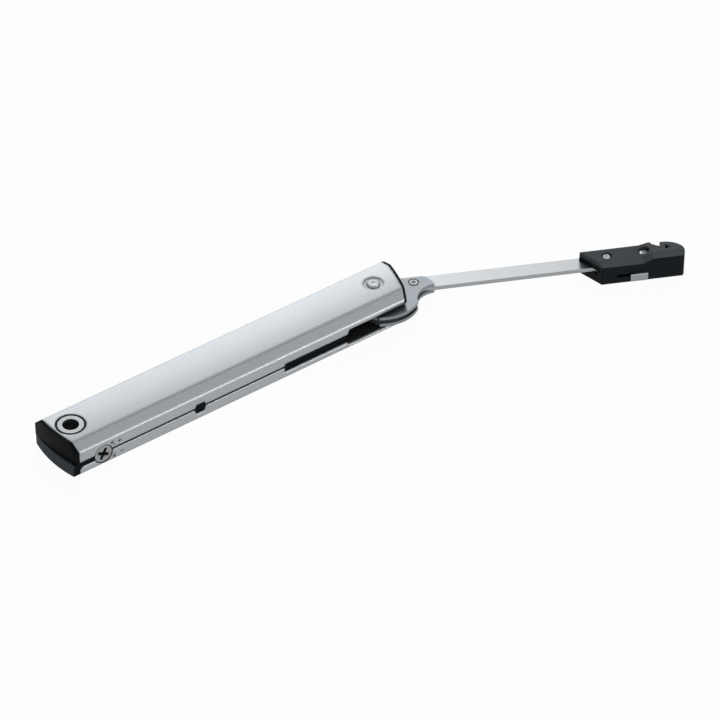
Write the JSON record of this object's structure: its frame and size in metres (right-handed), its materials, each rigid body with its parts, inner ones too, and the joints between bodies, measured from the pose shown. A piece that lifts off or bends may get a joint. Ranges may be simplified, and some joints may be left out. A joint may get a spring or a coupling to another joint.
{
  "type": "lid stay",
  "caption": "Flap stay with a slim silver spring housing, cam lever, folding steel arm and black plastic front connector.",
  "frame": {"origin": "on the axis of the mounting hole, at the mounting face", "axes": "+X along the housing towards the lever, +Y to the far side, +Z away from the mounting face"},
  "size_m": [0.3178, 0.081, 0.017],
  "materials": {
    "silver_paint": "satin",
    "black_plastic": "matte",
    "connector_plastic": "matte",
    "bush_zinc": "satin",
    "zinc_steel": "satin",
    "satin_steel": "satin",
    "lever_steel": "satin",
    "spring_steel": "satin"
  },
  "bodies": {
    "housing": {"top_cover": "silver_paint", "base_tray": "silver_paint", "rear_cap": "black_plastic", "front_trim": "black_plastic", "mounting_bush": "bush_zinc", "inner_frame": "black_plastic", "pivot_pin": "bush_zinc", "thrust_washer": "black_plastic", "spacer_sleeve": "zinc_steel", "spring_near": "spring_steel", "spring_far": "spring_steel"},
    "adjuster": {"adjusting_screw": "bush_zinc", "screw_pinion": "zinc_steel"},
    "spindle": {"spindle": "zinc_steel", "spindle_gear": "zinc_steel"},
    "seat": {"spring_seat": "black_plastic"},
    "slider": {"slider": "black_plastic", "roller_pin": "zinc_steel"},
    "roller": {"roller": "zinc_steel"},
    "lever": {"lever_plate_lower": "lever_steel", "lever_plate_upper": "lever_steel", "cam_disc": "lever_steel", "lever_rivets": "zinc_steel", "arm_pin": "bush_zinc"},
    "arm": {"arm": "satin_steel"},
    "connector": {"connector_cover": "connector_plastic", "connector_base": "connector_plastic", "connector_liner": "black_plastic", "connector_rivet": "bush_zinc", "connector_screw": "bush_zinc", "latch_spring": "spring_steel"},
    "latch": {"latch_tab": "satin_steel"}
  },
  "joints": [
    {"name": "lever_pivot", "type": "hinge", "parent": "housing", "child": "lever", "pos_m": [0.17, 0, 0.0058], "axis": [0, 0, 1], "range_deg": [-105, 0]},
    {"name": "slider_slide", "type": "slide", "parent": "housing", "child": "slider", "axis": [1, 0, 0], "range_m": [-0.0066, 0], "deforming": ["spring_near", "spring_far"]},
    {"name": "roller_spin", "type": "hinge", "parent": "slider", "child": "roller", "pos_m": [0.1552, 0, 0.00575], "axis": [0, 0, 1], "continuous": true},
    {"name": "arm_pivot", "type": "hinge", "parent": "lever", "child": "arm", "pos_m": [0.19163, -0.00272, 0.00575], "axis": [0, 0, 1], "range_deg": [-45, 30]},
    {"name": "connector_pivot", "type": "hinge", "parent": "arm", "child": "connector", "pos_m": [0.27457, -0.04451, 0.00575], "axis": [0, 0, 1], "range_deg": [-5, 45]},
    {"name": "latch_slide", "type": "slide", "parent": "connector", "child": "latch", "axis": [0.8996, -0.4368, 0], "range_m": [-0.0055, 0], "stiffness_N_per_m": 300, "springref_m": 0.003, "deforming": ["latch_spring"]},
    {"name": "adjuster_turn", "type": "hinge", "parent": "housing", "child": "adjuster", "pos_m": [0.0075, 0, 0.00525], "axis": [0, 1, 0], "range_deg": [0, 3600]},
    {"name": "spindle_turn", "type": "hinge", "parent": "housing", "child": "spindle", "pos_m": [0.0075, 0, 0.00525], "axis": [1, 0, 0], "range_deg": [0, 3600]},
    {"name": "seat_slide", "type": "slide", "parent": "housing", "child": "seat", "axis": [1, 0, 0], "range_m": [0, 0.008], "deforming": ["spring_near", "spring_far"]}
  ],
  "couplings": [
    {"joint": "slider_slide", "follows": "lever_pivot", "m_per_rad": 0.00356},
    {"joint": "adjuster_turn", "follows": "seat_slide", "rad_per_m": 7854},
    {"joint": "spindle_turn", "follows": "seat_slide", "rad_per_m": 7854}
  ]
}
